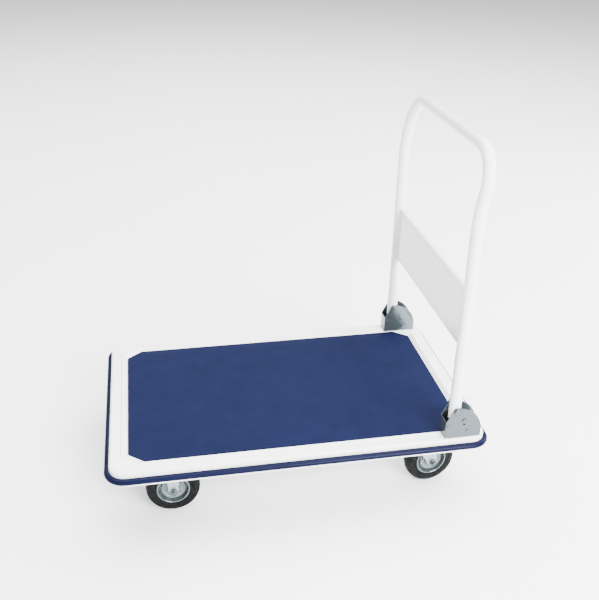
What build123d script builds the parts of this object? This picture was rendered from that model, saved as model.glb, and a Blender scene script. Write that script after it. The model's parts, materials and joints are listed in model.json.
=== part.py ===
"""Folding platform cart: a pressed steel deck on four 130 mm casters, with a
tube handle that folds flat over the deck.

Millimetres. The floor is Z = 0 under the middle of the deck, X runs towards
the handle end, and left is the -Y side.
"""
import os
from math import atan, cos, degrees, radians, sin, tan

from build123d import *

os.makedirs("parts", exist_ok=True)

# ---- deck ----------------------------------------------------------------
DECK_LENGTH = 886        # over the steel skirt
DECK_WIDTH = 570
DECK_CORNER = 37
SHEET = 2                # deck steel
MAT_LENGTH = 800
MAT_WIDTH = 484
MAT_THICK = 3
MAT_TOP = 191.5          # the height of the load surface above the floor
SKIRT_BOTTOM = MAT_TOP - 34
MAT_CUT_X = 37.5         # corner cuts of the mat
MAT_CUT_Y = 31
MAT_EDGE_ROUND = 1
BORDER_TOP = MAT_TOP + 3.5
BEAD_TOP = MAT_TOP + 5.5   # raised bead pressed round the mat
FLOOR_TOP = MAT_TOP - MAT_THICK
MAT_GAP = 1.5            # bare steel between the mat and the recess wall
RECESS_WALL = 9          # plan width of the sloped recess wall
BEAD_LAND = 3.5          # flat top of the bead
BEAD_TAPER = 55          # degrees of the bead's outer slope
DECK_ROLL = 6            # radius where the border rolls into the skirt

BUMPER_THICK = 12
BUMPER_HEIGHT = 14
BUMPER_TOP = MAT_TOP - 10.5

MEMBER_WEB = 116         # hat channels under the deck
MEMBER_FLANGE = 18
MEMBER_STEEL = 2.5
MEMBER_LENGTH = 496
STIFFENER_WEB = 60
STIFFENER_DEPTH = 14

# ---- casters -------------------------------------------------------------
FIXED_X = 303            # fixed casters, at the far end from the handle
CASTER_X = 306           # kingpins of the swivel casters
CASTER_Y = 184
TRAIL = 36               # kingpin to axle
YAW_LEFT = 7.5           # degrees each swivel caster has turned
YAW_RIGHT = -4
WHEEL_R = 65
TYRE_WIDTH = 34
TYRE_SEAT_R = 38.5
RIM_STEEL = 1.6
FORK_GAP = 43            # between the fork legs
FORK_STEEL = 2.5
LEG_TIP_R = 10.5         # rounded lower end of a fork leg
FIXED_LEG = 38           # width of a leg at the top
SWIVEL_LEG = 56
LEG_ROOT = 16            # straight part of a leg under its crown
PLATE_TOP = SKIRT_BOTTOM + 2
MEMBER_DEPTH = FLOOR_TOP - SHEET - PLATE_TOP
PLATE_LENGTH = 105
PLATE_WIDTH = 84
PLATE_STEEL = 3
BOLT_PITCH_X = 80
BOLT_PITCH_Y = 60
BOLT_R = 4
BEARING_R = 13
SLEEVE_R = 7
AXLE_R = 5
RUN_FIT = 0.05           # radial play of turning fits
CROWN_TOP = MAT_TOP - 50 # top face of a swivel fork
KINGPIN_R = 6
WASHER_R = 11            # flange under the crown
WASHER_THICK = 2
CROWN_R = 34             # pressed round of the plate and the crown
SEAT_PLAY = 0.4          # between the crown and the flange
BALL_LIFT = 0.6          # gap from the crown to the bottom of a ball's seat
RACE_R = 27              # circle of the ball centres
BALL_R = 3
BALL_COUNT = 18

# ---- bolts and nuts: across flats, head or nut height ---------------------
BOLT_HEX = 13
BOLT_HEAD = 5
BOLT_NUT = 6.5
AXLE_HEX = 16
AXLE_HEAD = 6
AXLE_NUT = 8
PIVOT_NUT = 7
KINGPIN_HEX = 18
KINGPIN_NUT = 6
BOLT_END = 3             # thread that shows past a nut

# ---- handle and its hinge ------------------------------------------------
TUBE_R = 14
TUBE_WALL = 1.8
HANDLE_X = 361.3
HANDLE_Y = 260           # each upright's distance from the middle plane
PIVOT_Z = MAT_TOP + 77
FOOT_Z = PIVOT_Z - 26.5
LEAN_Z = MAT_TOP + 560   # where the uprights bend back
LEAN_ANGLE = 9.5
LEAN_RADIUS = 380
HANDLE_TOP_Z = MAT_TOP + 689
HANDLE_CORNER = 82
PIVOT_R = 5
BUSH_R = 7
BUSH_PLAY = 0.3          # beside each end of a bush
PANEL_LOW = MAT_TOP + 233
PANEL_HIGH = MAT_TOP + 381
PANEL_STEEL = 1.2
PANEL_FLANGE = 10
FIELD_EDGE = 12          # flat margin above and below the panel's raised field
FIELD_SIDE = 19
FIELD_RISE = 3
FIELD_CORNER = 6

PLATE_GAP = 33.5         # between the two cheeks of a hinge bracket
CHEEK = 2.5
SEAT_MARGIN = 2          # the bead stops this far from each bracket
SEAT_SHIFT = 5           # and a little further on the mat's side
BRACKET_FRONT = 336
BRACKET_BACK = 424
BRACKET_WEB_TOP = MAT_TOP + 47
FOOT_BOLT = 24           # bolts from the ends of a bracket
DOME_START = 93          # degrees where the slope meets the dome
DOME_X = 360
DOME_Z = MAT_TOP + 22
DOME_R = 64
LOCK_X = 381.5
LOCK_Z = MAT_TOP + 49.5
LOCK_R = 3.5
LOCK_TRAVEL = 8
STOP_X = 343
STOP_Z = MAT_TOP + 36
ANCHOR_X = 392
ANCHOR_Z = MAT_TOP + 20
RIVET_R = 3
RIVET_HEAD_R = 5
RIVET_HEAD = 1.8
LOCK_PLAY = 0.4          # round and beside a lock pin
LOCK_HEAD_R = 6
LOCK_HEAD = 2
PIVOT_HEAD_R = 8.5
PIVOT_HEAD = 4.5
SPRING_R = 4.2
SPRING_WIRE = 0.6
SPRING_TURNS = 7

UP = Vector(0, 0, 1)


def save(built, name):
    """Label a finished piece and write it to its own file."""
    built.part.label = name
    export_step(built.part, f"parts/{name}.step")


def save_pair(built, name):
    """Write a left piece and its mirror image on the right."""
    save(built, f"left_{name}")
    with BuildPart() as right:
        mirror(built.part, about=Plane.XZ)
    save(right, f"right_{name}")


def save_both(built, name):
    """Write a left piece and its mirror image as one group of solids."""
    with BuildPart() as both:
        add(built.part)
        mirror(built.part, about=Plane.XZ)
    save(both, name)


# ---- deck pieces ---------------------------------------------------------
def mat_outline(grow):
    """The mat's rectangle with cut corners, grown by a margin all round."""
    half_x = MAT_LENGTH / 2 + grow
    half_y = MAT_WIDTH / 2 + grow
    cut_x = MAT_CUT_X + grow / 2
    cut_y = MAT_CUT_Y + grow / 2
    corners = [(half_x, half_y - cut_y), (half_x - cut_x, half_y)]
    corners += [(-x, y) for x, y in reversed(corners)]
    corners += [(-x, -y) for x, y in corners]
    Polygon(*corners, align=None)


def deck_form(skin):
    """The deck's outer shape, drawn in by the thickness of its skin."""
    wall_slope = RECESS_WALL / (BEAD_TOP - FLOOR_TOP)
    wall_shift = skin * ((1 + wall_slope**2) ** 0.5 - wall_slope)
    bead_shift = skin * (1 / cos(radians(BEAD_TAPER)) - tan(radians(BEAD_TAPER)))
    crest = MAT_GAP + RECESS_WALL
    seat_x = (BRACKET_FRONT + BRACKET_BACK) / 2
    seat_y = HANDLE_Y - SEAT_SHIFT
    seat_length = BRACKET_BACK - BRACKET_FRONT + 2 * SEAT_MARGIN
    seat_width = PLATE_GAP + 2 * CHEEK + 2 * SEAT_MARGIN
    bead_width = BEAD_LAND + (BEAD_TOP - BORDER_TOP) * tan(radians(BEAD_TAPER))
    with BuildPart() as form:
        with BuildSketch(Plane.XY.offset(SKIRT_BOTTOM)):
            RectangleRounded(DECK_LENGTH - 2 * skin, DECK_WIDTH - 2 * skin, DECK_CORNER - skin)
        extrude(amount=BORDER_TOP - skin - SKIRT_BOTTOM)
        fillet(form.edges().group_by(Axis.Z)[-1], DECK_ROLL - skin)
        with BuildSketch(Plane.XY.offset(BORDER_TOP - skin)):
            mat_outline(crest + bead_width - bead_shift)
        extrude(amount=BEAD_TOP - BORDER_TOP, taper=BEAD_TAPER)
        with BuildSketch(Plane.XY.offset(BEAD_TOP - skin)):
            mat_outline(crest + wall_shift)
        extrude(amount=-(BEAD_TOP - FLOOR_TOP), taper=degrees(atan(wall_slope)), mode=Mode.SUBTRACT)
        with BuildSketch(Plane.XY.offset(BORDER_TOP - skin)):
            with Locations((seat_x, -seat_y), (seat_x, seat_y)):
                Rectangle(seat_length + 2 * skin, seat_width + 2 * skin)
        extrude(amount=BEAD_TOP - BORDER_TOP, mode=Mode.SUBTRACT)
    return form.part


def make_deck_pan():
    hollow = deck_form(SHEET)
    with BuildPart() as deck_pan:
        add(deck_form(0))
        add(hollow, mode=Mode.SUBTRACT)
        with BuildSketch(Plane.XY.offset(BORDER_TOP)):
            with Locations(*bracket_bolt_places()):
                Circle(BOLT_R)
        extrude(amount=-2 * DECK_ROLL, mode=Mode.SUBTRACT)
    save(deck_pan, "deck_pan")


def make_deck_mat():
    with BuildPart() as deck_mat:
        with BuildSketch(Plane.XY.offset(FLOOR_TOP)):
            mat_outline(0)
        extrude(amount=MAT_THICK)
        fillet(deck_mat.edges().group_by(Axis.Z)[-1], MAT_EDGE_ROUND)
    save(deck_mat, "deck_mat")


def make_bumper():
    half_x = DECK_LENGTH / 2
    half_y = DECK_WIDTH / 2
    with BuildLine(Plane.XY.offset(BUMPER_TOP)) as half_way_round:
        FilletPolyline((0, -half_y), (half_x, -half_y), (half_x, half_y), (0, half_y), radius=DECK_CORNER)
    # Section seen along the left side: x outwards, y downwards from the top.
    section = Plane(origin=(0, -half_y, BUMPER_TOP), x_dir=(0, -1, 0), z_dir=(1, 0, 0))
    nose = BUMPER_HEIGHT / 2
    flat = BUMPER_THICK - nose
    with BuildPart() as bumper:
        with BuildSketch(section):
            with BuildLine():
                Polyline((flat, 0), (0, 0), (0, BUMPER_HEIGHT), (flat, BUMPER_HEIGHT))
                ThreePointArc((flat, BUMPER_HEIGHT), (BUMPER_THICK, nose), (flat, 0))
            make_face()
        sweep(path=half_way_round.wire())
        mirror(about=Plane.YZ)
    save(bumper, "bumper_strip")


def hat_section(web, depth, flange, steel):
    """Hat channel with its web at the bottom, hung from y = 0."""
    half = web / 2
    with BuildLine() as outline:
        FilletPolyline(
            (-half - flange, -steel / 2),
            (-half, -steel / 2),
            (-half, -depth + steel / 2),
            (half, -depth + steel / 2),
            (half, -steel / 2),
            (half + flange, -steel / 2),
            radius=2 * steel,
        )
    trace(outline.line, line_width=steel)


def make_cross_member(name, x):
    under_deck = FLOOR_TOP - SHEET
    middle = Plane(origin=(x, -MEMBER_LENGTH / 2, under_deck), x_dir=(-1, 0, 0), z_dir=(0, 1, 0))
    with BuildPart() as member:
        with BuildSketch(middle):
            hat_section(MEMBER_WEB, MEMBER_DEPTH, MEMBER_FLANGE, MEMBER_STEEL)
        extrude(amount=MEMBER_LENGTH)
        with BuildSketch(Plane.XY.offset(PLATE_TOP)):
            with Locations(*caster_bolt_places(x)):
                Circle(BOLT_R)
        extrude(amount=2 * MEMBER_STEEL, mode=Mode.SUBTRACT)
    save(member, name)


def make_centre_stiffener():
    reach = FIXED_X - MEMBER_WEB / 2 - MEMBER_FLANGE - 4
    start = Plane(origin=(-reach, 0, FLOOR_TOP - SHEET), x_dir=(0, 1, 0), z_dir=(1, 0, 0))
    with BuildPart() as stiffener:
        with BuildSketch(start):
            hat_section(STIFFENER_WEB, STIFFENER_DEPTH, MEMBER_FLANGE, MEMBER_STEEL)
        extrude(amount=2 * reach)
    save(stiffener, "centre_stiffener")


# ---- casters -------------------------------------------------------------
def caster_bolt_places(x):
    """The eight caster bolts of one cross member."""
    return [
        (x + side_x * BOLT_PITCH_X / 2, y + side_y * BOLT_PITCH_Y / 2)
        for y in (-CASTER_Y, CASTER_Y)
        for side_x in (-1, 1)
        for side_y in (-1, 1)
    ]


def wheel_plane(kingpin_x, kingpin_y, trail, yaw):
    """Middle plane of a wheel: x along its roll, y up, z along the axle to the left."""
    roll = Vector(cos(radians(yaw)), sin(radians(yaw)), 0)
    centre = Vector(kingpin_x, kingpin_y, WHEEL_R) + roll * trail
    return Plane(origin=centre, x_dir=roll, z_dir=roll.cross(UP))


def axle_section(wheel):
    """Plane through the axle: x is the radius, y the way along the axle."""
    return Plane(origin=wheel.origin, x_dir=UP, z_dir=wheel.x_dir)


def ring(wheel, inner, outer, start, length):
    """A plain ring or, with no bore, a disc on the axle, added to the open part."""
    with BuildSketch(wheel.offset(start)) as section:
        Circle(outer)
        if inner:
            Circle(inner, mode=Mode.SUBTRACT)
    extrude(section.sketch, amount=length)


def make_tyre(name, wheel):
    half = TYRE_WIDTH / 2
    shoulder = 5
    with BuildPart() as tyre:
        with BuildSketch(axle_section(wheel)) as profile:
            with BuildLine():
                Polyline((WHEEL_R - shoulder, -half), (TYRE_SEAT_R, -half), (TYRE_SEAT_R, half),
                         (WHEEL_R - shoulder, half))
                ThreePointArc((WHEEL_R - shoulder, half), (WHEEL_R, 0), (WHEEL_R - shoulder, -half))
            make_face()
            fillet(profile.vertices().sort_by(Axis(wheel.origin, UP))[-2:], 4)
        revolve(axis=Axis(wheel.origin, wheel.z_dir))
    save(tyre, name)


def make_rim_half(name, wheel, side):
    """One pressed disc: outer lip, drum under the tyre, dished web and bearing cup."""
    half = TYRE_WIDTH / 2
    drum = TYRE_SEAT_R - RIM_STEEL / 2
    cup = BEARING_R + RIM_STEEL / 2
    web = RIM_STEEL / 2
    with BuildPart() as rim:
        with BuildSketch(axle_section(wheel)):
            with BuildLine():
                FilletPolyline(
                    (drum + 2.5, side * (half + web)),
                    (drum, side * (half + web)),
                    (drum, side * web),
                    (drum - 6, side * web),
                    (drum - 10, side * 9),
                    (cup + 6, side * 10),
                    (cup, side * 8),
                    (cup, side * (half + 1)),
                    radius=0.9,
                )
            trace(line_width=RIM_STEEL)
        revolve(axis=Axis(wheel.origin, wheel.z_dir))
    save(rim, name)


def make_bearings(name, wheel):
    """The two ball bearings of a wheel, simplified to rings."""
    length = 10
    outer_end = TYRE_WIDTH / 2 + 1
    with BuildPart() as bearings:
        for start in (outer_end - length, -outer_end):
            ring(wheel, SLEEVE_R + RUN_FIT, BEARING_R, start, length)
    save(bearings, name)


def hexagon(across_flats):
    RegularPolygon(across_flats / 2, 6, major_radius=False)


def axle_bolt_solid(wheel):
    """Axle bolt with its hexagon head on the right side of the fork."""
    outside = FORK_GAP / 2 + FORK_STEEL
    with BuildPart() as bolt:
        with BuildSketch(wheel.offset(-outside - AXLE_HEAD)):
            hexagon(AXLE_HEX)
        extrude(amount=AXLE_HEAD)
        ring(wheel, 0, AXLE_R, -outside, 2 * outside + AXLE_NUT + BOLT_END)
    return bolt


def axle_nut_solid(wheel):
    outside = FORK_GAP / 2 + FORK_STEEL
    with BuildPart() as nut:
        with BuildSketch(wheel.offset(outside)):
            hexagon(AXLE_HEX)
            Circle(AXLE_R, mode=Mode.SUBTRACT)
        extrude(amount=AXLE_NUT)
        chamfer(nut.faces().sort_by(Axis(wheel.origin, wheel.z_dir))[-1].outer_wire().edges(), 0.8)
    return nut


def axle_sleeve_solid(wheel):
    with BuildPart() as sleeve:
        ring(wheel, AXLE_R, SLEEVE_R, -FORK_GAP / 2, FORK_GAP)
    return sleeve


def fork_legs(wheel, top_x, top_width, top_z):
    """Two tapering legs beside the wheel, hung from top_z."""
    for start in (FORK_GAP / 2, -FORK_GAP / 2 - FORK_STEEL):
        with BuildSketch(wheel.offset(start)) as leg:
            Circle(LEG_TIP_R)
            with Locations((top_x, top_z - WHEEL_R)):
                Rectangle(top_width, LEG_ROOT, align=(Align.CENTER, Align.MAX))
            make_hull()
            Circle(AXLE_R, mode=Mode.SUBTRACT)
        extrude(leg.sketch, amount=FORK_STEEL)


def plate_slots(centre_x, centre_y):
    with BuildSketch(Plane.XY.offset(PLATE_TOP)) as holes:
        with Locations((centre_x, centre_y)):
            with GridLocations(BOLT_PITCH_X, BOLT_PITCH_Y, 2, 2):
                Circle(BOLT_R)
    extrude(holes.sketch, amount=-2 * PLATE_STEEL, mode=Mode.SUBTRACT)


def top_plate(centre_x, centre_y):
    with BuildSketch(Plane.XY.offset(PLATE_TOP - PLATE_STEEL)) as plate:
        with Locations((centre_x, centre_y)):
            RectangleRounded(PLATE_LENGTH, PLATE_WIDTH, 8)
    extrude(plate.sketch, amount=PLATE_STEEL)


def make_fixed_fork(name, wheel):
    x = wheel.origin.X
    y = wheel.origin.Y
    with BuildPart() as fork:
        top_plate(x, y)
        fork_legs(wheel, 0, FIXED_LEG, PLATE_TOP - PLATE_STEEL)
        plate_slots(x, y)
    save(fork, name)


def make_swivel_plate(name, x, y):
    """Fixed half of a swivel caster: top plate with the upper ball race pressed in."""
    race_floor = CROWN_TOP + 2 * (BALL_R + BALL_LIFT)
    seat = PLATE_TOP - PLATE_STEEL
    with BuildPart() as plate:
        top_plate(x, y)
        with BuildSketch(Plane.XY.offset(race_floor)):
            with Locations((x, y)):
                Circle(CROWN_R)
        extrude(amount=seat - race_floor)
        fillet(plate.edges().group_by(Axis.Z)[0], 3)
        with BuildSketch(Plane.XY.offset(PLATE_TOP)):
            with Locations((x, y)):
                Circle(KINGPIN_R)
        extrude(amount=-PLATE_TOP, mode=Mode.SUBTRACT)
        plate_slots(x, y)
        ball_track(x, y, BALL_R + RUN_FIT)
    save(plate, name)


def ball_track(x, y, radius):
    """Cut the round groove that the balls run in."""
    ball_z = CROWN_TOP + BALL_R + BALL_LIFT
    with BuildSketch(Plane(origin=(x, y, ball_z), x_dir=(1, 0, 0), z_dir=(0, -1, 0))) as groove:
        with Locations((RACE_R, 0)):
            Circle(radius)
    revolve(groove.sketch, axis=Axis((x, y, 0), UP), mode=Mode.SUBTRACT)


def make_swivel_fork(name, wheel, x, y):
    """Turning half of a swivel caster: crown with the lower race, and two legs."""
    crown = Plane(origin=(x, y, CROWN_TOP), x_dir=wheel.x_dir, z_dir=UP)
    width = FORK_GAP + 2 * FORK_STEEL
    with BuildPart() as fork:
        with BuildSketch(crown):
            Circle(CROWN_R)
            with Locations((TRAIL / 3, 0)):
                Rectangle(SWIVEL_LEG, width)
        extrude(amount=-PLATE_STEEL)
        fork_legs(wheel, -TRAIL + TRAIL / 3, SWIVEL_LEG, CROWN_TOP)
        with BuildSketch(crown):
            Circle(KINGPIN_R + RUN_FIT)
        extrude(amount=-2 * PLATE_STEEL, mode=Mode.SUBTRACT)
        ball_track(x, y, BALL_R + RUN_FIT)
    save(fork, name)


def make_balls(name, x, y):
    ball_z = CROWN_TOP + BALL_R + BALL_LIFT
    with BuildPart() as balls:
        with Locations(Plane(origin=(x, y, ball_z))):
            with PolarLocations(RACE_R, BALL_COUNT):
                Sphere(BALL_R)
    save(balls, name)


def make_kingpin(name, x, y):
    """Kingpin riveted into the top plate, with its retaining washer below the crown."""
    washer_top = CROWN_TOP - PLATE_STEEL - SEAT_PLAY
    low = washer_top - WASHER_THICK - KINGPIN_NUT - BOLT_END / 2
    with BuildPart() as kingpin:
        with BuildSketch(Plane.XY.offset(low)):
            with Locations((x, y)):
                Circle(KINGPIN_R)
        extrude(amount=PLATE_TOP - low)
        with BuildSketch(Plane.XY.offset(washer_top - WASHER_THICK)):
            with Locations((x, y)):
                Circle(WASHER_R)
        extrude(amount=WASHER_THICK)
    save(kingpin, name)


def make_kingpin_nuts():
    low = CROWN_TOP - PLATE_STEEL - SEAT_PLAY - WASHER_THICK - KINGPIN_NUT
    with BuildPart() as nuts:
        with BuildSketch(Plane.XY.offset(low)):
            with Locations((CASTER_X, -CASTER_Y), (CASTER_X, CASTER_Y)):
                hexagon(KINGPIN_HEX)
                Circle(KINGPIN_R, mode=Mode.SUBTRACT)
        extrude(amount=KINGPIN_NUT)
    save(nuts, "kingpin_nuts")


def make_caster_fasteners():
    """Sixteen plate bolts from below and their nuts inside the cross members."""
    places = caster_bolt_places(-FIXED_X) + caster_bolt_places(CASTER_X)
    plate_low = PLATE_TOP - PLATE_STEEL
    nut_seat = PLATE_TOP + MEMBER_STEEL
    with BuildPart() as bolts:
        with BuildSketch(Plane.XY.offset(plate_low - BOLT_HEAD)):
            with Locations(*places):
                hexagon(BOLT_HEX)
        extrude(amount=BOLT_HEAD)
        with BuildSketch(Plane.XY.offset(plate_low)):
            with Locations(*places):
                Circle(BOLT_R)
        extrude(amount=nut_seat + BOLT_NUT + BOLT_END - plate_low)
    save(bolts, "caster_bolts")
    with BuildPart() as nuts:
        with BuildSketch(Plane.XY.offset(nut_seat)):
            with Locations(*places):
                hexagon(BOLT_HEX)
            with Locations(*places):
                Circle(BOLT_R, mode=Mode.SUBTRACT)
        extrude(amount=BOLT_NUT)
    save(nuts, "caster_nuts")


def make_wheel(name, wheel):
    make_tyre(f"{name}_tyre", wheel)
    make_rim_half(f"{name}_outer_rim", wheel, 1)
    make_rim_half(f"{name}_inner_rim", wheel, -1)
    make_bearings(f"{name}_bearings", wheel)


def make_fixed_casters():
    left = wheel_plane(-FIXED_X, -CASTER_Y, 0, 0)
    right = wheel_plane(-FIXED_X, CASTER_Y, 0, 0)
    for name, wheel in (("front_left", left), ("front_right", right)):
        make_wheel(name, wheel)
        make_fixed_fork(f"{name}_fork", wheel)
    for name, solid in (
        ("front_axle_bolts", axle_bolt_solid),
        ("front_axle_nuts", axle_nut_solid),
        ("front_axle_sleeves", axle_sleeve_solid),
    ):
        with BuildPart() as pair:
            add(solid(left).part)
            add(solid(right).part)
        save(pair, name)


def make_swivel_casters():
    for name, y, yaw in (("rear_left", -CASTER_Y, YAW_LEFT), ("rear_right", CASTER_Y, YAW_RIGHT)):
        wheel = wheel_plane(CASTER_X, y, TRAIL, yaw)
        make_wheel(name, wheel)
        make_swivel_plate(f"{name}_top_plate", CASTER_X, y)
        make_swivel_fork(f"{name}_fork", wheel, CASTER_X, y)
        make_kingpin(f"{name}_kingpin", CASTER_X, y)
        make_balls(f"{name}_race_balls", CASTER_X, y)
        save(axle_bolt_solid(wheel), f"{name}_axle_bolt")
        save(axle_nut_solid(wheel), f"{name}_axle_nut")
        save(axle_sleeve_solid(wheel), f"{name}_axle_sleeve")
    make_kingpin_nuts()


# ---- hinge brackets ------------------------------------------------------
def bracket_bolt_places():
    """Two bolts through each bracket's foot."""
    rows = (BRACKET_FRONT + FOOT_BOLT, BRACKET_BACK - FOOT_BOLT)
    return [(x, side * HANDLE_Y) for x in rows for side in (-1, 1)]


def cross_plane(x, z, y):
    """Plane across the cart at a given y, its normal towards the left."""
    return Plane(origin=(x, y, z), x_dir=(1, 0, 0), z_dir=(0, -1, 0))


def make_brackets():
    inner = -HANDLE_Y + PLATE_GAP / 2
    outer = -HANDLE_Y - PLATE_GAP / 2
    shoulder = radians(DOME_START)
    slope_end = (DOME_X + DOME_R * cos(shoulder), DOME_Z + DOME_R * sin(shoulder))
    dome_middle = (DOME_X + DOME_R * cos(radians(45)), DOME_Z + DOME_R * sin(radians(45)))
    with BuildPart() as bracket:
        for face in (inner + CHEEK, outer):
            with BuildSketch(cross_plane(0, 0, face)):
                with BuildLine():
                    Polyline((BRACKET_BACK, DOME_Z), (BRACKET_BACK, BORDER_TOP), (BRACKET_FRONT, BORDER_TOP),
                             (BRACKET_FRONT, BRACKET_WEB_TOP), slope_end)
                    ThreePointArc(slope_end, dome_middle, (BRACKET_BACK, DOME_Z))
                make_face()
            extrude(amount=CHEEK)
        middle = (BRACKET_FRONT + BRACKET_BACK) / 2
        with BuildSketch(Plane.XY.offset(BORDER_TOP)):
            with Locations((middle, -HANDLE_Y)):
                Rectangle(BRACKET_BACK - BRACKET_FRONT, PLATE_GAP)
        extrude(amount=CHEEK)
        with BuildSketch(Plane.YZ.offset(BRACKET_FRONT)):
            with Locations((-HANDLE_Y, BORDER_TOP)):
                Rectangle(PLATE_GAP, BRACKET_WEB_TOP - BORDER_TOP, align=(Align.CENTER, Align.MIN))
        extrude(amount=CHEEK)
        front = bracket.faces().sort_by(Axis.X)[0]
        fillet(front.edges().filter_by(Axis.Z), CHEEK)
        with BuildSketch(cross_plane(0, 0, inner + CHEEK)):
            with Locations((HANDLE_X, PIVOT_Z)):
                Circle(PIVOT_R)
            with Locations((STOP_X, STOP_Z), (ANCHOR_X, ANCHOR_Z)):
                Circle(RIVET_R)
            with Locations((LOCK_X, LOCK_Z - LOCK_TRAVEL / 2)):
                SlotCenterToCenter(LOCK_TRAVEL, 2 * (LOCK_R + LOCK_PLAY), rotation=90)
        extrude(amount=PLATE_GAP + 2 * CHEEK, mode=Mode.SUBTRACT)
        with BuildSketch(Plane.XY.offset(BORDER_TOP)):
            with Locations(*bracket_bolt_places()):
                Circle(BOLT_R)
        extrude(amount=CHEEK, mode=Mode.SUBTRACT)
    save_pair(bracket, "hinge_bracket")


def cross_pin(x, z):
    """A rivet with a rounded head outside each cheek of the left bracket."""
    half = PLATE_GAP / 2 + CHEEK
    with BuildPart() as pin:
        with BuildSketch(cross_plane(x, z, -HANDLE_Y + half)):
            Circle(RIVET_R)
        extrude(amount=2 * half)
        for face in (half + RIVET_HEAD, -half):
            with BuildSketch(cross_plane(x, z, -HANDLE_Y + face)):
                Circle(RIVET_HEAD_R)
            extrude(amount=RIVET_HEAD)
        fillet(pin.faces().sort_by(Axis.Y)[0].edges(), RIVET_HEAD / 2)
        fillet(pin.faces().sort_by(Axis.Y)[-1].edges(), RIVET_HEAD / 2)
    return pin


def make_bracket_pins():
    save_both(cross_pin(STOP_X, STOP_Z), "stop_rivets")
    save_both(cross_pin(ANCHOR_X, ANCHOR_Z), "brace_rivets")
    half = PLATE_GAP / 2 + CHEEK
    with BuildPart() as lock_pin:
        with BuildSketch(cross_plane(LOCK_X, LOCK_Z, -HANDLE_Y + half + LOCK_PLAY)):
            Circle(LOCK_R)
        extrude(amount=2 * (half + LOCK_PLAY))
        for face in (half + LOCK_PLAY + LOCK_HEAD, -half - LOCK_PLAY):
            with BuildSketch(cross_plane(LOCK_X, LOCK_Z, -HANDLE_Y + face)):
                Circle(LOCK_HEAD_R)
            extrude(amount=LOCK_HEAD)
    save_pair(lock_pin, "lock_pin")


def make_lock_springs():
    """Coil spring that stands on the bracket's foot and holds the lock pin up."""
    low = BORDER_TOP + CHEEK
    high = LOCK_Z - LOCK_R - 0.2
    length = high - low - 2 * SPRING_WIRE
    with BuildPart() as spring:
        with BuildLine(Plane(origin=(LOCK_X, -HANDLE_Y, low + SPRING_WIRE))) as coil:
            Helix(pitch=length / SPRING_TURNS, height=length, radius=SPRING_R)
        with BuildSketch(Plane(origin=coil.line @ 0, z_dir=coil.line % 0)):
            Circle(SPRING_WIRE)
        sweep(path=coil.line)
    save_pair(spring, "lock_spring")


def make_pivots():
    """Pivot bolts with their heads outside, and the nuts on the inner cheeks."""
    half = PLATE_GAP / 2 + CHEEK
    pin_plane = cross_plane(HANDLE_X, PIVOT_Z, -HANDLE_Y)
    with BuildPart() as bolt:
        with BuildSketch(pin_plane.offset(half)):
            Circle(PIVOT_HEAD_R)
        extrude(amount=PIVOT_HEAD)
        fillet(bolt.faces().sort_by(Axis.Y)[0].edges(), PIVOT_HEAD / 2)
        with BuildSketch(pin_plane.offset(-half - PIVOT_NUT - BOLT_END)):
            Circle(PIVOT_R)
        extrude(amount=2 * half + PIVOT_NUT + BOLT_END)
    save_both(bolt, "pivot_bolts")
    with BuildPart() as nut:
        with BuildSketch(pin_plane.offset(-half - PIVOT_NUT)):
            hexagon(AXLE_HEX)
            Circle(PIVOT_R, mode=Mode.SUBTRACT)
        extrude(amount=PIVOT_NUT)
    save_both(nut, "pivot_nuts")


def make_bracket_fasteners():
    """Bolts that hold the brackets to the deck, headed inside the bracket."""
    seat = BORDER_TOP + CHEEK
    under = BORDER_TOP - SHEET
    with BuildPart() as bolts:
        with BuildSketch(Plane.XY.offset(seat)):
            with Locations(*bracket_bolt_places()):
                hexagon(BOLT_HEX)
        extrude(amount=BOLT_HEAD)
        with BuildSketch(Plane.XY.offset(under - BOLT_NUT - BOLT_END)):
            with Locations(*bracket_bolt_places()):
                Circle(BOLT_R)
        extrude(amount=seat - under + BOLT_NUT + BOLT_END)
    save(bolts, "bracket_bolts")
    with BuildPart() as nuts:
        with BuildSketch(Plane.XY.offset(under - BOLT_NUT)):
            with Locations(*bracket_bolt_places()):
                hexagon(BOLT_HEX)
            with Locations(*bracket_bolt_places()):
                Circle(BOLT_R, mode=Mode.SUBTRACT)
        extrude(amount=BOLT_NUT)
    save(nuts, "bracket_nuts")


# ---- handle --------------------------------------------------------------
def make_handle_tube():
    top_x = HANDLE_X + (HANDLE_TOP_Z - LEAN_Z) * tan(radians(LEAN_ANGLE))
    left_points = [
        (HANDLE_X, -HANDLE_Y, FOOT_Z),
        (HANDLE_X, -HANDLE_Y, LEAN_Z),
        (top_x, -HANDLE_Y, HANDLE_TOP_Z),
    ]
    right_points = [(x, -y, z) for x, y, z in reversed(left_points)]
    corners = [LEAN_RADIUS, HANDLE_CORNER, HANDLE_CORNER, LEAN_RADIUS]
    with BuildPart() as handle_tube:
        with BuildLine() as route:
            FilletPolyline(*left_points, *right_points, radius=corners)
        with BuildSketch(Plane(origin=left_points[0], z_dir=(0, 0, 1))):
            Circle(TUBE_R)
            Circle(TUBE_R - TUBE_WALL, mode=Mode.SUBTRACT)
        sweep(path=route.wire())
        with BuildSketch(cross_plane(HANDLE_X, PIVOT_Z, 2 * HANDLE_Y)):
            Circle(BUSH_R)
        extrude(amount=4 * HANDLE_Y, mode=Mode.SUBTRACT)
    save(handle_tube, "handle_tube")


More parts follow.
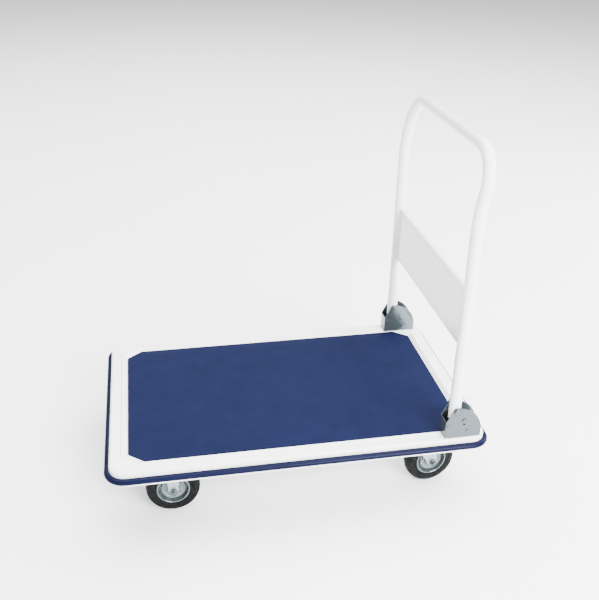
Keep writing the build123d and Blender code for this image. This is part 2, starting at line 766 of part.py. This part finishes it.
def make_handle_panel():
    """Pressed panel between the uprights, with a raised field and folded edges."""
    width = 2 * (HANDLE_Y - TUBE_R)
    height = PANEL_HIGH - PANEL_LOW
    middle = (0, (PANEL_LOW + PANEL_HIGH) / 2)
    front = Plane(origin=(HANDLE_X - PANEL_STEEL / 2, 0, 0), x_dir=(0, -1, 0), z_dir=(-1, 0, 0))
    draw_in = PANEL_STEEL * tan(radians(22.5))

    def field(plane, shrink, mode):
        with BuildSketch(plane) as outline:
            with Locations(middle):
                RectangleRounded(
                    width - 2 * (FIELD_SIDE + shrink),
                    height - 2 * (FIELD_EDGE + shrink),
                    FIELD_CORNER - shrink,
                )
        extrude(outline.sketch, amount=FIELD_RISE, taper=45, mode=mode)

    with BuildPart() as panel:
        with BuildSketch(front):
            with Locations(middle):
                Rectangle(width, height)
        extrude(amount=-PANEL_STEEL)
        field(front, 0, Mode.ADD)
        field(front.offset(-PANEL_STEEL), draw_in, Mode.SUBTRACT)
        for z in (PANEL_LOW, PANEL_HIGH - PANEL_STEEL):
            with BuildSketch(Plane.XY.offset(z)):
                with Locations((HANDLE_X - PANEL_STEEL / 2, 0)):
                    Rectangle(PANEL_FLANGE, width - 2 * PANEL_FLANGE, align=(Align.MIN, Align.CENTER))
            extrude(amount=PANEL_STEEL)
    save(panel, "handle_panel")


def make_pivot_bushes():
    """Steel bushes pressed across the tube feet."""
    half = PLATE_GAP / 2 - BUSH_PLAY
    pin_plane = cross_plane(HANDLE_X, PIVOT_Z, -HANDLE_Y)
    with BuildPart() as bush:
        ring(pin_plane, PIVOT_R + RUN_FIT, BUSH_R, -half, 2 * half)
    save_both(bush, "pivot_bushes")


make_deck_pan()
make_deck_mat()
make_bumper()
make_cross_member("front_cross_member", -FIXED_X)
make_cross_member("rear_cross_member", CASTER_X)
make_centre_stiffener()
make_fixed_casters()
make_swivel_casters()
make_caster_fasteners()
make_brackets()
make_bracket_pins()
make_lock_springs()
make_pivots()
make_bracket_fasteners()
make_handle_tube()
make_handle_panel()
make_pivot_bushes()
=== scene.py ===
"""Looks for the folding platform cart, laid out as an add-on and run as a script.

Metres. The floor is Z = 0 under the middle of the deck, X runs towards the
handle end, and left is the -Y side.
"""
import json
from math import cos, pi, radians, sin

import bmesh
import bpy
from mathutils import Matrix, Vector


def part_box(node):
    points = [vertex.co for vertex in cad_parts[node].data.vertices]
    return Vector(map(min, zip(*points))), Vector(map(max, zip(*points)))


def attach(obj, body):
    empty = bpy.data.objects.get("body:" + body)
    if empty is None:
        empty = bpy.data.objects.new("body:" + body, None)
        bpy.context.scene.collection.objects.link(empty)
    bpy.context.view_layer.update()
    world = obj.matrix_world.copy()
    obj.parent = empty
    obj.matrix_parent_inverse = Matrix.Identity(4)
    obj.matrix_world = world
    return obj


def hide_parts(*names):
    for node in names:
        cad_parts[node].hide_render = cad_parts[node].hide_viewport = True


bl_info = {
    "name": "Folding Platform Cart",
    "version": (1, 0, 0),
    "blender": (4, 5, 0),
    "location": "View3D > Sidebar > Cart",
    "description": "Builds the visible surfaces and finishes of a folding platform cart",
    "category": "Object",
}

MM = 0.001

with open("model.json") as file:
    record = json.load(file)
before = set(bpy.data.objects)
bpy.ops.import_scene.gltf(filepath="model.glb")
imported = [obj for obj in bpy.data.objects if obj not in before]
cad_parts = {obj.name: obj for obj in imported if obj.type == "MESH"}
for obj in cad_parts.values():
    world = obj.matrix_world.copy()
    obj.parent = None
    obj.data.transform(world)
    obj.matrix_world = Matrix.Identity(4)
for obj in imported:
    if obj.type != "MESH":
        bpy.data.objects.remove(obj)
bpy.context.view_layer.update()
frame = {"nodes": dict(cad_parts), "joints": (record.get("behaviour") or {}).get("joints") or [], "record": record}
NODES = frame["nodes"]
JOINTS = {joint["name"]: joint for joint in frame["joints"]}
WHEELS = ("front_left", "front_right", "rear_left", "rear_right")

# The usual view: from above, in front of the left side and near the far end. Angles are in degrees.
VIEW_PLACE = (-0.3082, -1.7421, 1.3677)
VIEW_YAW = -11.14
VIEW_PITCH = 62.56
VIEW_ROLL = 1.09
VIEW_LENS_MM = 48.77


# ---- colour and material helpers -------------------------------------------
def linear(hex_code):
    """Turn an sRGB hex colour into linear RGBA."""
    channels = [int(hex_code[i:i + 2], 16) / 255 for i in (1, 3, 5)]
    return tuple(c / 12.92 if c <= 0.04045 else ((c + 0.055) / 1.055) ** 2.4 for c in channels) + (1.0,)


def add_node(tree, kind, settings=None, inputs=None, links=None):
    """Add one shader node, set its properties and inputs, and link its inputs."""
    node = tree.nodes.new(kind)
    for name, value in (settings or {}).items():
        setattr(node, name, value)
    for name, value in (inputs or {}).items():
        node.inputs[name].default_value = value
    for name, output in (links or {}).items():
        tree.links.new(output, node.inputs[name])
    return node


def new_finish(name, metallic, roughness):
    """A material with a Principled shader; returns it, its tree, shader and object coordinates."""
    material = bpy.data.materials.new(name)
    material.use_nodes = True
    tree = material.node_tree
    shader = tree.nodes["Principled BSDF"]
    shader.inputs["Metallic"].default_value = metallic
    shader.inputs["Roughness"].default_value = roughness
    place = add_node(tree, "ShaderNodeTexCoord").outputs["Object"]
    return material, tree, shader, place


def noise(tree, place, size_mm, detail=3.0, roughness=0.5):
    """Noise whose blobs are about size_mm across."""
    node = add_node(tree, "ShaderNodeTexNoise", links={"Vector": place},
                    inputs={"Scale": 1 / (size_mm * MM), "Detail": detail, "Roughness": roughness})
    return node.outputs["Fac"]


def tint(tree, amount, low, high, low_at=0.35, high_at=0.65):
    """Two colours mixed by a noise value, sharpened between two levels."""
    ramp = add_node(tree, "ShaderNodeValToRGB", links={"Fac": amount})
    ends = ramp.color_ramp.elements
    ends[0].position = low_at
    ends[0].color = low
    ends[1].position = high_at
    ends[1].color = high
    return ramp.outputs["Color"]


def level(tree, amount, low, high):
    """A noise value rescaled to run between two numbers."""
    node = add_node(tree, "ShaderNodeMapRange", links={"Value": amount},
                    inputs={"From Min": 0.3, "From Max": 0.7, "To Min": low, "To Max": high})
    return node.outputs["Result"]


def bump(tree, shader, height, strength, depth_mm, under=None):
    """Bump of a real depth, laid over an optional bump below it."""
    links = {"Height": height}
    if under is not None:
        links["Normal"] = under
    node = add_node(tree, "ShaderNodeBump", links=links,
                    inputs={"Strength": strength, "Distance": depth_mm * MM})
    tree.links.new(node.outputs["Normal"], shader.inputs["Normal"])
    return node.outputs["Normal"]


def white_enamel(colour):
    """Gloss powder coat on steel: near white, with a faint orange peel and a little handling dust."""
    material, tree, shader, place = new_finish("white_powder_coat", 0.0, 0.28)
    shader.inputs["Coat Weight"].default_value = 0.3
    shader.inputs["Coat Roughness"].default_value = 0.1
    dusty = tuple(0.93 * c for c in colour[:3]) + (1,)
    tree.links.new(tint(tree, noise(tree, place, 90, 5, 0.6), dusty, colour), shader.inputs["Base Color"])
    tree.links.new(level(tree, noise(tree, place, 45, 4), 0.24, 0.34), shader.inputs["Roughness"])
    # Orange peel is about 1.5 mm between crests; drawn at 2.2 mm.
    bump(tree, shader, noise(tree, place, 2.2, 1.5), 0.1, 0.06)
    return material


def mat_vinyl(colour):
    """Calendered vinyl mat: royal blue with a faint cloudy bloom and a fine leather grain."""
    material, tree, shader, place = new_finish("blue_vinyl_mat", 0.0, 0.55)
    shader.inputs["Specular IOR Level"].default_value = 0.025
    pale = tuple(min(1.0, 1.12 * c) for c in colour[:3]) + (1,)
    deep = tuple(0.92 * c for c in colour[:3]) + (1,)
    cloudy = noise(tree, place, 55, 6, 0.62)
    tree.links.new(tint(tree, cloudy, deep, pale, 0.3, 0.7), shader.inputs["Base Color"])
    tree.links.new(level(tree, noise(tree, place, 30, 4), 0.52, 0.6), shader.inputs["Roughness"])
    # The grain's pebbles are about 1 mm; drawn at 2 mm so that they show.
    pebbles = add_node(tree, "ShaderNodeTexVoronoi", links={"Vector": place},
                       settings={"feature": "SMOOTH_F1"},
                       inputs={"Scale": 1 / (2.0 * MM), "Smoothness": 0.6})
    under = bump(tree, shader, pebbles.outputs["Distance"], 0.2, 0.1)
    bump(tree, shader, noise(tree, place, 70, 2), 0.1, 0.6, under)
    return material


def bumper_vinyl(colour):
    """Extruded vinyl edging: smooth glossy navy, a little duller where hands and boxes rub it."""
    material, tree, shader, place = new_finish("navy_vinyl_edging", 0.0, 0.32)
    shader.inputs["Specular IOR Level"].default_value = 0.05
    pale = tuple(min(1.0, 1.12 * c + 0.001) for c in colour[:3]) + (1,)
    tree.links.new(tint(tree, noise(tree, place, 220, 2), colour, pale), shader.inputs["Base Color"])
    tree.links.new(level(tree, noise(tree, place, 90, 2), 0.22, 0.32), shader.inputs["Roughness"])
    bump(tree, shader, noise(tree, place, 60, 1), 0.08, 0.3)
    return material


def zinc_plate(name, colour, roughness, drift=0.03):
    """Bright zinc plating on pressed steel: cool grey with a soft blue-yellow drift and drawing marks."""
    material, tree, shader, place = new_finish(name, 0.7, roughness)
    warm = (colour[0] * (1 + drift), colour[1] * (1 + drift), colour[2] * (1 - drift), 1)
    cool = (colour[0] * (1 - drift), colour[1], colour[2] * (1 + drift), 1)
    tree.links.new(tint(tree, noise(tree, place, 26, 3), warm, cool), shader.inputs["Base Color"])
    tree.links.new(level(tree, noise(tree, place, 14, 3), roughness - 0.04, roughness + 0.05),
                   shader.inputs["Roughness"])
    # Drawing marks run up the sheet, a few tenths of a millimetre apart; drawn at 0.8 mm.
    stretched = add_node(tree, "ShaderNodeMapping", links={"Vector": place}, inputs={"Scale": (1, 1, 0.08)})
    bump(tree, shader, noise(tree, stretched.outputs["Vector"], 0.8, 2), 0.05, 0.03)
    return material


def tyre_rubber(colour):
    """Moulded black rubber: matt, a little grey with dust on the tread."""
    material, tree, shader, place = new_finish("black_tyre_rubber", 0.0, 0.6)
    shader.inputs["Specular IOR Level"].default_value = 0.06
    dusty = tuple(c * 2.1 + 0.006 for c in colour[:3]) + (1,)
    dust = noise(tree, place, 9, 6, 0.65)
    tree.links.new(tint(tree, dust, colour, dusty, 0.35, 0.8), shader.inputs["Base Color"])
    tree.links.new(level(tree, noise(tree, place, 12, 4), 0.42, 0.66), shader.inputs["Roughness"])
    bump(tree, shader, noise(tree, place, 1.4, 3), 0.2, 0.12)
    return material


# ---- mesh helpers ------------------------------------------------------------
def finish_object(mesh_in_progress, name, material, body, smooth_angle):
    """Turn a bmesh into a shaded object that rides on a body; edges sharper than the angle stay crisp."""
    bmesh.ops.remove_doubles(mesh_in_progress, verts=mesh_in_progress.verts, dist=1e-6)
    bmesh.ops.recalc_face_normals(mesh_in_progress, faces=mesh_in_progress.faces)
    for face in mesh_in_progress.faces:
        face.smooth = True
    mesh = bpy.data.meshes.new(name)
    mesh_in_progress.to_mesh(mesh)
    mesh_in_progress.free()
    mesh.set_sharp_from_angle(angle=radians(smooth_angle))
    mesh.materials.append(material)
    piece = bpy.data.objects.new(name, mesh)
    bpy.context.scene.collection.objects.link(piece)
    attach(piece, body)
    return piece


def spin_profile(mesh, profile, closed, steps):
    """Spin an outline of (radius, along axle) points a full turn about Z."""
    corners = [mesh.verts.new((radius, 0, along)) for radius, along in profile]
    edges = [mesh.edges.new(pair) for pair in zip(corners, corners[1:])]
    if closed:
        edges.append(mesh.edges.new((corners[-1], corners[0])))
    bmesh.ops.spin(mesh, geom=corners + edges, cent=(0, 0, 0), axis=(0, 0, 1), angle=2 * pi,
                   steps=steps, use_merge=True)


def axle_placement(wheel):
    """Matrix that takes Z along the axle, outwards, at the wheel's centre."""
    joint = JOINTS[f"{wheel}_wheel_spin"]
    turn = Vector((0, 0, 1)).rotation_difference(Vector(joint["axis"])).to_matrix().to_4x4()
    return Matrix.Translation(Vector(joint["pos_m"])) @ turn


def round_corner(centre, radius, start, end, steps=6):
    """Points of an arc in an outline, in the outline's own two coordinates."""
    return [
        (centre[0] + radius * cos(radians(start + (end - start) * i / steps)),
         centre[1] + radius * sin(radians(start + (end - start) * i / steps)))
        for i in range(steps + 1)
    ]


def put_on(material, *names):
    """Give CAD nodes a finish."""
    for name in names:
        slots = NODES[name].data.materials
        slots.clear()
        slots.append(material)


# ---- properties ---------------------------------------------------------------
class CartColours(bpy.types.PropertyGroup):
    """Colours of the cart's finishes."""

    enamel: bpy.props.FloatVectorProperty(
        name="Enamel", description="White powder coat of the deck and handle",
        subtype="COLOR", size=4, min=0, max=1, default=linear("#F3F4F6"))
    mat: bpy.props.FloatVectorProperty(
        name="Mat", description="Blue vinyl of the deck mat",
        subtype="COLOR", size=4, min=0, max=1, default=linear("#0F142D"))
    bumper: bpy.props.FloatVectorProperty(
        name="Bumper", description="Navy vinyl of the edge strip",
        subtype="COLOR", size=4, min=0, max=1, default=linear("#080C25"))
    zinc: bpy.props.FloatVectorProperty(
        name="Zinc", description="Bright zinc plate of the brackets, pins and fasteners",
        subtype="COLOR", size=4, min=0, max=1, default=linear("#51585D"))
    # The forks' zinc is a lighter copy of the bracket zinc: the extra lightness is painted highlight for the glare
    # on the fork legs.
    fork: bpy.props.FloatVectorProperty(
        name="Forks", description="Satin zinc plate of the caster forks",
        subtype="COLOR", size=4, min=0, max=1, default=linear("#9AA3A8"))
    rim: bpy.props.FloatVectorProperty(
        name="Rim", description="Zinc plate of the wheel rims",
        subtype="COLOR", size=4, min=0, max=1, default=linear("#646D70"))
    steel: bpy.props.FloatVectorProperty(
        name="Bearing steel", description="Ground steel of the bearings and springs",
        subtype="COLOR", size=4, min=0, max=1, default=linear("#9C9FA1"))
    rubber: bpy.props.FloatVectorProperty(
        name="Rubber", description="Black rubber of the tyres",
        subtype="COLOR", size=4, min=0, max=1, default=linear("#070809"))
    floor: bpy.props.FloatVectorProperty(
        name="Floor", description="Pale studio floor",
        subtype="COLOR", size=4, min=0, max=1, default=linear("#FAFAFA"))


class CartSizes(bpy.types.PropertyGroup):
    """Sizes of the pieces that are modelled here."""

    wheel_steps: bpy.props.IntProperty(
        name="Wheel steps", description="Steps in a full turn of a wheel piece", default=96, min=24, max=256)
    rim_steel: bpy.props.FloatProperty(
        name="Rim steel", description="Thickness of the pressed rims", default=1.5 * MM, unit="LENGTH")


# ---- operators -----------------------------------------------------------------
class CART_OT_enamel(bpy.types.Operator):
    """Powder-coat the deck, its members and the handle"""

    bl_idname = "cart.enamel"
    bl_label = "Enamelled steel"

    def execute(self, context):
        enamel = white_enamel(tuple(context.scene.cart_colours.enamel))
        put_on(enamel, "deck_pan", "front_cross_member", "rear_cross_member", "centre_stiffener",
               "handle_tube", "handle_panel")
        return {"FINISHED"}


class CART_OT_vinyl(bpy.types.Operator):
    """Finish the mat and the edge bumper"""

    bl_idname = "cart.vinyl"
    bl_label = "Mat and bumper"

    def execute(self, context):
        colours = context.scene.cart_colours
        put_on(mat_vinyl(tuple(colours.mat)), "deck_mat")
        put_on(bumper_vinyl(tuple(colours.bumper)), "bumper_strip")
        return {"FINISHED"}


class CART_OT_zinc(bpy.types.Operator):
    """Plate the brackets, forks, pins and fasteners"""

    bl_idname = "cart.zinc"
    bl_label = "Zinc-plated parts"

    def execute(self, context):
        colours = context.scene.cart_colours
        plated = zinc_plate("bright_zinc_plate", tuple(colours.zinc), 0.14)
        ground = zinc_plate("ground_bearing_steel", tuple(colours.steel), 0.26)
        slots = {part["node"]: part["material_slot"] for part in frame["record"]["subparts"]}
        put_on(plated, *[node for node, slot in slots.items() if slot == "zinc_plate"])
        # The forks get a lighter copy of the zinc colour, a painted highlight for the glare on their legs; the
        # higher roughness is their satin finish.
        fork_painted_highlight_zinc = zinc_plate("fork_zinc_painted_glare", tuple(colours.fork), 0.34)
        put_on(fork_painted_highlight_zinc, *[f"{wheel}_fork" for wheel in WHEELS])
        put_on(ground, *[node for node, slot in slots.items() if slot == "bearing_steel"])
        return {"FINISHED"}


class CART_OT_tyres(bpy.types.Operator):
    """Mould the four rubber tyres"""

    bl_idname = "cart.tyres"
    bl_label = "Tyres"

    def execute(self, context):
        rubber = tyre_rubber(tuple(context.scene.cart_colours.rubber))
        steps = context.scene.cart_sizes.wheel_steps
        for wheel in WHEELS:
            low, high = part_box(f"{wheel}_tyre")
            crown = (high.z - low.z) / 2
            half = 17 * MM
            seat = 38.6 * MM
            side = [
                (seat, half - 2.2 * MM),
                (seat + 1.4 * MM, half - 0.4 * MM),
                (seat + 4 * MM, half),
                (seat + 7 * MM, half),
                (seat + 7.8 * MM, half - 0.8 * MM),
                (seat + 9.4 * MM, half - 0.8 * MM),
                (seat + 10.2 * MM, half),
                (crown - 6.5 * MM, half - 0.7 * MM),
                (crown - 3.6 * MM, half - 2.6 * MM),
                (crown - 1.7 * MM, half - 6.2 * MM),
                (crown - 0.5 * MM, half - 11 * MM),
                (crown, 0.6 * MM),
            ]
            profile = side + [(radius, -along) for radius, along in reversed(side)]
            mesh = bmesh.new()
            spin_profile(mesh, profile, True, steps)
            bmesh.ops.transform(mesh, matrix=axle_placement(wheel), verts=mesh.verts)
            tyre = finish_object(mesh, f"{wheel}_moulded_tyre", rubber, f"{wheel}_wheel", 40)
            rounding = tyre.modifiers.new("soft edges", "BEVEL")
            rounding.width = 0.5 * MM
            rounding.segments = 2
            rounding.limit_method = "ANGLE"
            rounding.angle_limit = radians(30)
            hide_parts(f"{wheel}_tyre")
        return {"FINISHED"}


class CART_OT_rims(bpy.types.Operator):
    """Press the two halves of each wheel rim"""

    bl_idname = "cart.rims"
    bl_label = "Rims"

    def execute(self, context):
        colours = context.scene.cart_colours
        sizes = context.scene.cart_sizes
        plated = zinc_plate("pressed_rim_zinc", tuple(colours.rim), 0.17, 0.015)
        for wheel in WHEELS:
            for half_name, side in (("outer_rim", 1), ("inner_rim", -1)):
                profile = [
                    (13.4 * MM, 17.4 * MM),
                    (14.6 * MM, 17.4 * MM),
                    *round_corner((14.6 * MM, 15.8 * MM), 1.6 * MM, 75, 0, 4),
                    (16.6 * MM, 11.6 * MM),
                    (18.4 * MM, 10.4 * MM),
                    (22 * MM, 10.8 * MM),
                    (25.4 * MM, 12.2 * MM),
                    (27.4 * MM, 13 * MM),
                    *round_corner((27.4 * MM, 11.4 * MM), 1.6 * MM, 75, 5, 4),
                    (30.4 * MM, 6 * MM),
                    (33.4 * MM, 5.4 * MM),
                    (35.2 * MM, 8 * MM),
                    (36.2 * MM, 15.4 * MM),
                    *round_corner((38 * MM, 15.8 * MM), 1.9 * MM, 160, 10),
                ]
                mesh = bmesh.new()
                spin_profile(mesh, profile, False, sizes.wheel_steps)
                bmesh.ops.recalc_face_normals(mesh, faces=mesh.faces)
                flip = Matrix.Diagonal((1, 1, side, 1))
                bmesh.ops.transform(mesh, matrix=axle_placement(wheel) @ flip, verts=mesh.verts)
                rim = finish_object(mesh, f"{wheel}_pressed_{half_name}", plated,
                                    f"{wheel}_wheel", 50)
                shell = rim.modifiers.new("steel", "SOLIDIFY")
                shell.thickness = sizes.rim_steel
                shell.offset = -1
                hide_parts(f"{wheel}_{half_name}")
        return {"FINISHED"}


class CART_OT_stage(bpy.types.Operator):
    """Set the studio floor, lights and camera"""

    bl_idname = "cart.stage"
    bl_label = "Studio"

    def execute(self, context):
        scene = context.scene
        material, tree, shader, place = new_finish("pale_studio_floor", 0.0, 0.8)
        pale = tuple(scene.cart_colours.floor)
        grey = tuple(0.985 * c for c in pale[:3]) + (1,)
        tree.links.new(tint(tree, noise(tree, place, 900, 2), grey, pale), shader.inputs["Base Color"])
        mesh = bmesh.new()
        bmesh.ops.create_grid(mesh, x_segments=1, y_segments=1, size=30)
        floor_mesh = bpy.data.meshes.new("studio_floor")
        mesh.to_mesh(floor_mesh)
        mesh.free()
        floor_mesh.materials.append(material)
        floor = bpy.data.objects.new("studio_floor", floor_mesh)
        scene.collection.objects.link(floor)

        world = bpy.data.worlds.new("studio_white")
        world.use_nodes = True
        sky = world.node_tree.nodes["Background"]
        sky.inputs["Color"].default_value = (1, 1, 1, 1)
        sky.inputs["Strength"].default_value = 0.8
        scene.world = world

        lights = (
            ("key_softbox", (1.2, -2.9, 1.9), (1.8, 1.8), 480),
            ("side_softbox", (3.2, 0.6, 1.6), (1.8, 1.8), 150),
            ("top_softbox", (0.6, 1.2, 5.0), (7.0, 7.0), 1500),
        )
        for name, position, size, power in lights:
            lamp = bpy.data.lights.new(name, "AREA")
            lamp.shape = "RECTANGLE"
            lamp.size, lamp.size_y = size
            lamp.energy = power
            softbox = bpy.data.objects.new(name, lamp)
            softbox.location = position
            aim = Vector((0, 0, 0.2)) - Vector(position)
            softbox.rotation_euler = aim.to_track_quat("-Z", "Y").to_euler()
            scene.collection.objects.link(softbox)

        camera_data = bpy.data.cameras.new("view")
        camera_data.lens = VIEW_LENS_MM
        camera_data.sensor_width = 36
        camera = bpy.data.objects.new("view", camera_data)
        yaw = Matrix.Rotation(radians(VIEW_YAW), 4, "Z")
        pitch = Matrix.Rotation(radians(VIEW_PITCH), 4, "X")
        roll = Matrix.Rotation(radians(VIEW_ROLL), 4, "Z")
        camera.matrix_world = Matrix.Translation(VIEW_PLACE) @ yaw @ pitch @ roll
        scene.collection.objects.link(camera)
        scene.camera = camera
        return {"FINISHED"}


OPERATORS = (CART_OT_stage, CART_OT_enamel, CART_OT_vinyl, CART_OT_zinc, CART_OT_tyres, CART_OT_rims)


class CART_PT_panel(bpy.types.Panel):
    """Sidebar panel that lists the cart's pieces"""

    bl_idname = "CART_PT_panel"
    bl_label = "Platform cart"
    bl_space_type = "VIEW_3D"
    bl_region_type = "UI"
    bl_category = "Cart"

    def draw(self, context):
        for operator in OPERATORS:
            self.layout.operator(operator.bl_idname)
        for settings in (context.scene.cart_colours, context.scene.cart_sizes):
            for name in settings.__annotations__:
                self.layout.prop(settings, name)


CLASSES = (CartColours, CartSizes, *OPERATORS, CART_PT_panel)


def register():
    for cls in CLASSES:
        bpy.utils.register_class(cls)
    bpy.types.Scene.cart_colours = bpy.props.PointerProperty(type=CartColours)
    bpy.types.Scene.cart_sizes = bpy.props.PointerProperty(type=CartSizes)


def unregister():
    del bpy.types.Scene.cart_sizes
    del bpy.types.Scene.cart_colours
    for cls in reversed(CLASSES):
        bpy.utils.unregister_class(cls)


def main():
    register()
    bpy.ops.cart.stage()
    bpy.ops.cart.enamel()
    bpy.ops.cart.vinyl()
    bpy.ops.cart.zinc()
    bpy.ops.cart.tyres()
    bpy.ops.cart.rims()


if __name__ == "__main__":
    main()
